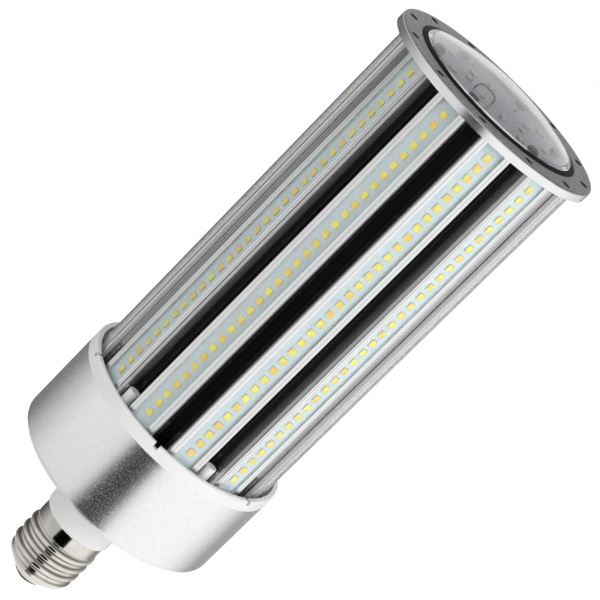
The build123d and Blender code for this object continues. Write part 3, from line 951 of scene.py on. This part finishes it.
class LAMP_OT_top(Operator):
    """Finishes the top flange, its LED board and the seal"""
    bl_idname = "lamp.top"
    bl_label = "Top"
    edge_round = 1.0 * MM
    # Painted shade: the top board's mask is far darker than the column boards', standing for the shade
    # under the lens.
    shaded_mask_tint = (0.066, 0.068, 0.08)
    mask_fields = 8
    mask_ring = 25.2 * MM

    def execute(self, context):
        finish = context.scene.lamp_finish
        holes = MOUNTS["flange_holes"]
        pattern = (holes["count"], holes["pcd_mm"] / 2 * MM, holes["hole_r_mm"] * MM)
        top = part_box("top_flange")[1].z
        paint(flange_finish(finish.flange, top, self.edge_round, pattern), "top_flange")
        paint(top_board_finish(self.shaded_mask_tint, self.mask_fields, self.mask_ring), "top_board")
        paint(rubber_finish(), "lens_seal")
        return {"FINISHED"}


class LAMP_OT_screws(Operator):
    """Models the pan-head screws with their cross recess and thread"""
    bl_idname = "lamp.screws"
    bl_label = "Screws"
    segments = 64
    thread_depth = 0.18 * MM

    def execute(self, context):
        settings = context.scene.lamp_screw
        batch = Batch()
        for points in solids("pan_screws"):
            centre = middle(points)
            spread = [(math.hypot(p.x - centre.x, p.y - centre.y), p.z) for p in points]
            head_r = max(r for r, _ in spread)
            low = min(z for _, z in spread)
            high = max(z for _, z in spread)
            head_z = [z for r, z in spread if r > 0.95 * head_r]
            upright = sum(head_z) / len(head_z) > centre.z
            shank_end = low if upright else high
            shank_r = max(r for r, z in spread if abs(z - shank_end) < 0.01 * MM)
            seat = min(head_z) if upright else max(head_z)
            turn = Matrix.Identity(4) if upright else Matrix.Rotation(math.pi, 4, "X")
            place = Matrix.Translation((centre.x, centre.y, seat)) @ turn
            head_t = high - seat if upright else seat - low
            sizes = (head_r, head_t, shank_r, high - low - head_t)
            batch.add(*self.screw(settings, sizes), place, 0, True)
        screws = batch.piece("pan_screw_set", [steel_finish()])
        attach(screws, "root")
        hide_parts("pan_screws")
        return {"FINISHED"}

    def screw(self, settings, sizes):
        """Points and faces of one screw whose head rests on height zero."""
        head_r, head_t, shank_r, shank_l = sizes
        turns = [math.tau * i / self.segments for i in range(self.segments)]
        rows = int(shank_l / settings.thread_pitch * 4)
        rings = []
        for i in range(rows + 1):
            z = -shank_l + shank_l * i / rows
            taper = 1 - 0.45 * (1 - smoothstep(0.0, 2.0 * MM, z + shank_l))
            ring = []
            for t in turns:
                wave = 0.5 + 0.5 * math.cos(math.tau * z / settings.thread_pitch - t)
                r = (shank_r - self.thread_depth * wave) * taper
                ring.append(polar(r, t, z))
            rings.append(ring)
        side = [(0.98, 0.0), (1.0, 0.08), (1.0, 0.55), (0.97, 0.74), (0.9, 0.88), (0.8, 0.96), (0.7, 0.99)]
        flat = [(share, 1.0) for share in (0.62, 0.54, 0.46, 0.38, 0.3, 0.22, 0.12)]
        for share, lift in side + flat:
            ring = []
            for t in turns:
                point = polar(share * head_r, t, lift * head_t)
                point.z -= settings.recess_depth * self.recess(settings, point)
                ring.append(point)
            rings.append(ring)
        return ring_part(rings, True, True)

    @staticmethod
    def recess(settings, point):
        """How far a point of the head lies inside the cross recess, from 0 to 1."""
        half = settings.recess_width / 2
        reach = settings.recess_length / 2
        soft = 0.2 * MM
        arms = []
        for along, over in ((point.x, point.y), (point.y, point.x)):
            inside = 1 - smoothstep(half - soft, half + soft, abs(over))
            arms.append(inside * (1 - smoothstep(reach - 2 * soft, reach, abs(along))))
        return max(arms)


class LAMP_OT_stage(Operator):
    """Adds the camera, the floor, the graded tent and the light"""
    bl_idname = "lamp.stage"
    bl_label = "Stage"
    tent_segments = 128
    # Grey levels round the tent, against the share of a turn from the front, anticlockwise from above
    side_levels = (
        (0.0, 1.0), (0.25, 1.0), (0.29, 0.84), (0.33, 0.54), (0.36, 0.28), (0.385, 0.30),
        (0.42, 0.40), (0.445, 0.32), (0.48, 0.12), (0.52, 0.10), (0.56, 0.20), (0.59, 0.18),
        (0.63, 0.18), (0.665, 0.30), (0.74, 0.62), (0.80, 0.83), (0.97, 0.83), (1.0, 1.0),
    )
    sky_levels = ((0.42, 0.40), (0.50, 0.36), (0.56, 0.50), (0.62, 0.48), (0.75, 0.40))

    def execute(self, context):
        stage = context.scene.lamp_stage
        self.add_camera(context, stage)
        self.add_floor(stage)
        self.add_tent(stage)
        self.add_world(context, stage)
        self.add_light("key_light", stage.key, (0.85, -0.75, 0.75), 0.7)
        self.add_light("fill_light", stage.fill, (-0.95, -0.75, 0.55), 0.9)
        self.add_light("top_light", stage.top, (0.0, 0.15, 1.25), 0.8)
        self.add_light("back_light", stage.back, (0.3, 1.1, 0.1), 0.5)
        self.add_light("low_light", stage.low, (0.95, -0.7, -0.1), 0.6, 0.05)
        context.scene.view_settings.view_transform = "Standard"
        return {"FINISHED"}

    @staticmethod
    def add_camera(context, stage):
        """A camera on the lamp's front side, rolled so that the lamp leans in the picture."""
        data = bpy.data.cameras.new("camera")
        data.lens = stage.lens
        data.sensor_width = 36.0
        data.dof.use_dof = False
        camera = bpy.data.objects.new("camera", data)
        side = stage.distance * math.sin(stage.azimuth)
        back = -stage.distance * math.cos(stage.azimuth)
        aim = Matrix.Rotation(stage.azimuth, 4, "Z") @ Matrix.Rotation(math.pi / 2 - stage.pitch, 4, "X")
        roll = Matrix.Rotation(stage.roll, 4, "Z")
        camera.matrix_world = Matrix.Translation((side, back, stage.height)) @ aim @ roll
        context.scene.collection.objects.link(camera)
        context.scene.camera = camera

    @staticmethod
    def add_floor(stage):
        """A pale floor that shows white with soft shade; the metal sees a painted reflection of it, with a
        dark strip in front.
        """
        f = Finish("pale_floor")
        matt = f.node("ShaderNodeBsdfDiffuse", inputs={"Color": (0.8, 0.8, 0.8, 1.0)})
        glow = f.node("ShaderNodeEmission", inputs={"Color": WHITE, "Strength": 1.3})
        both = f.node("ShaderNodeMixShader", inputs={0: 0.75, 1: matt, 2: glow})
        from_front = either_way(f.angle() - FRONT)
        # Painted reflection for glossy rays only: painted shadow under the lamp, a dark strip in front,
        # more light on the right.
        under = 1 - f.step(0.09, 0.14, f.radius())
        strip = (1 - f.step(0.22, 0.34, from_front)) * (1 - under)
        level = (0.68 + 0.32 * f.step(-0.12, 0.12, f.x)) * (1 - 0.15 * under) * (1 - 0.75 * strip)
        painted_reflection = f.node("ShaderNodeEmission", inputs={"Color": level})
        seen = f.node("ShaderNodeLightPath", output="Is Camera Ray")
        mirrored = f.node("ShaderNodeLightPath", output="Is Glossy Ray")
        shown = f.node("ShaderNodeMixShader", inputs={0: seen, 1: matt, 2: both})
        surface = f.node("ShaderNodeMixShader", inputs={0: mirrored, 1: shown, 2: painted_reflection})
        f.node("ShaderNodeOutputMaterial", inputs={"Surface": surface})
        half = stage.floor_size / 2
        square = [(-half, -half), (half, -half), (half, half), (-half, half)]
        points = [Vector((x, y, -stage.floor_drop)) for x, y in square]
        new_piece("floor", points, [(0, 1, 2, 3)], [f.material])

    def add_tent(self, stage):
        """A round tent that only reflections show, bright at the sides and dark behind and in front."""
        f = Finish("graded_tent")
        turn = f.angle() - FRONT
        high = f.step(0.14, 0.25, f.z)
        deep = f.step(0.12, 0.20, 0.0 - f.z)
        left = f.step(2.8, 3.5, turn % math.tau)
        from_front = either_way(turn + 0.06 * high)
        lean = 0.3 * f.step(0.3, 1.2, from_front) * (left * high + (1 - left) * f.step(-0.06, 0.12, f.z))
        leaning = (turn - lean) % math.tau / math.tau
        sides = f.node("ShaderNodeValToRGB", {"stops": self.side_levels}, {0: leaning})
        edge = 0.25 - 0.17 * f.z + 1.3 * f.z.math("MAXIMUM", -0.1 - f.z, 0.0)
        glint = (1 - left) * f.step(-0.08, 0.04, f.z) * f.band(2.4, 0.25, 0.15, from_front)
        sides = f.mix(glint * 0.75, sides, (0.85, 0.85, 0.85))
        strip = 1 - f.step(-0.03, 0.03, from_front - edge)
        dim = left * (0.3 * deep + 0.1 * high)
        below = f.mix(strip.math("MAXIMUM", strip, dim), sides, BLACK)
        upper = f.step(0.30, 0.36, f.z)
        sky = f.node("ShaderNodeValToRGB", {"stops": self.sky_levels}, {0: turn % math.tau / math.tau})
        above = sky * (2.30 - 2.10 * f.step(0.36, 0.86, f.z) + 2.0 * f.step(1.08, 1.35, f.z))
        glow = f.node("ShaderNodeEmission", inputs={"Color": f.mix(upper, below, above)})
        f.node("ShaderNodeOutputMaterial", inputs={"Surface": glow})
        ends = (-stage.floor_drop + MM, stage.tent_height)
        rings = [circle(stage.tent_radius, z, self.tent_segments) for z in ends]
        tent = new_piece("graded_tent", *ring_part(rings, False, False), [f.material])
        tent.visible_camera = False
        tent.visible_diffuse = False
        tent.visible_transmission = False
        tent.visible_shadow = False

    @staticmethod
    def add_world(context, stage):
        """White for what is seen directly, mirrored or through clear pieces, and an even light."""
        world = bpy.data.worlds.new("white_studio")
        world.use_nodes = True
        s = Shader(world.node_tree)
        seen = s.node("ShaderNodeLightPath", output="Is Camera Ray")
        for ray in ("Is Glossy Ray", "Is Transmission Ray"):
            seen = seen.math("MAXIMUM", seen, s.node("ShaderNodeLightPath", output=ray))
        even = s.node("ShaderNodeBackground", inputs={"Color": WHITE, "Strength": stage.ambient})
        white = s.node("ShaderNodeBackground", inputs={"Color": WHITE})
        mixed = s.node("ShaderNodeMixShader", inputs={0: seen, 1: even, 2: white})
        s.node("ShaderNodeOutputWorld", inputs={"Surface": mixed})
        context.scene.world = world

    @staticmethod
    def add_light(name, power, place, size, aim_height=0.18):
        """A round lamp that faces the axis and that mirrors don't show."""
        data = bpy.data.lights.new(name, "AREA")
        data.energy = power
        data.shape = "DISK"
        data.size = size
        light = bpy.data.objects.new(name, data)
        target = Vector((0.0, 0.0, aim_height))
        aim = (target - Vector(place)).to_track_quat("-Z", "Y").to_matrix().to_4x4()
        light.matrix_world = Matrix.Translation(place) @ aim
        light.visible_glossy = False
        bpy.context.scene.collection.objects.link(light)


OPERATORS = (
    LAMP_OT_screw_cap, LAMP_OT_mouldings, LAMP_OT_housing, LAMP_OT_column, LAMP_OT_leds, LAMP_OT_covers,
    LAMP_OT_top, LAMP_OT_screws, LAMP_OT_stage,
)
SETTINGS = {
    "lamp_cap": CapSettings, "lamp_led": LedSettings, "lamp_screw": ScrewSettings,
    "lamp_finish": FinishSettings, "lamp_stage": StageSettings,
}


class LAMP_PT_panel(Panel):
    """Lists the lamp's settings and steps"""
    bl_idname = "LAMP_PT_panel"
    bl_label = "Column Lamp"
    bl_space_type = "VIEW_3D"
    bl_region_type = "UI"
    bl_category = "Lamp"

    def draw(self, context):
        for name, group in SETTINGS.items():
            box = self.layout.box()
            box.label(text=group.__doc__)
            settings = getattr(context.scene, name)
            for key in group.__annotations__:
                box.prop(settings, key)
        column = self.layout.column(align=True)
        for operator in OPERATORS:
            column.operator(operator.bl_idname)


CLASSES = (*SETTINGS.values(), *OPERATORS, LAMP_PT_panel)


def register():
    for cls in CLASSES:
        bpy.utils.register_class(cls)
    for name, group in SETTINGS.items():
        setattr(bpy.types.Scene, name, PointerProperty(type=group))


def unregister():
    for name in SETTINGS:
        delattr(bpy.types.Scene, name)
    for cls in reversed(CLASSES):
        bpy.utils.unregister_class(cls)


def main():
    register()
    bpy.ops.lamp.screw_cap()
    bpy.ops.lamp.mouldings()
    bpy.ops.lamp.housing()
    bpy.ops.lamp.column()
    bpy.ops.lamp.leds()
    bpy.ops.lamp.covers()
    bpy.ops.lamp.top()
    bpy.ops.lamp.screws()
    bpy.ops.lamp.stage()


if __name__ == "__main__":
    main()
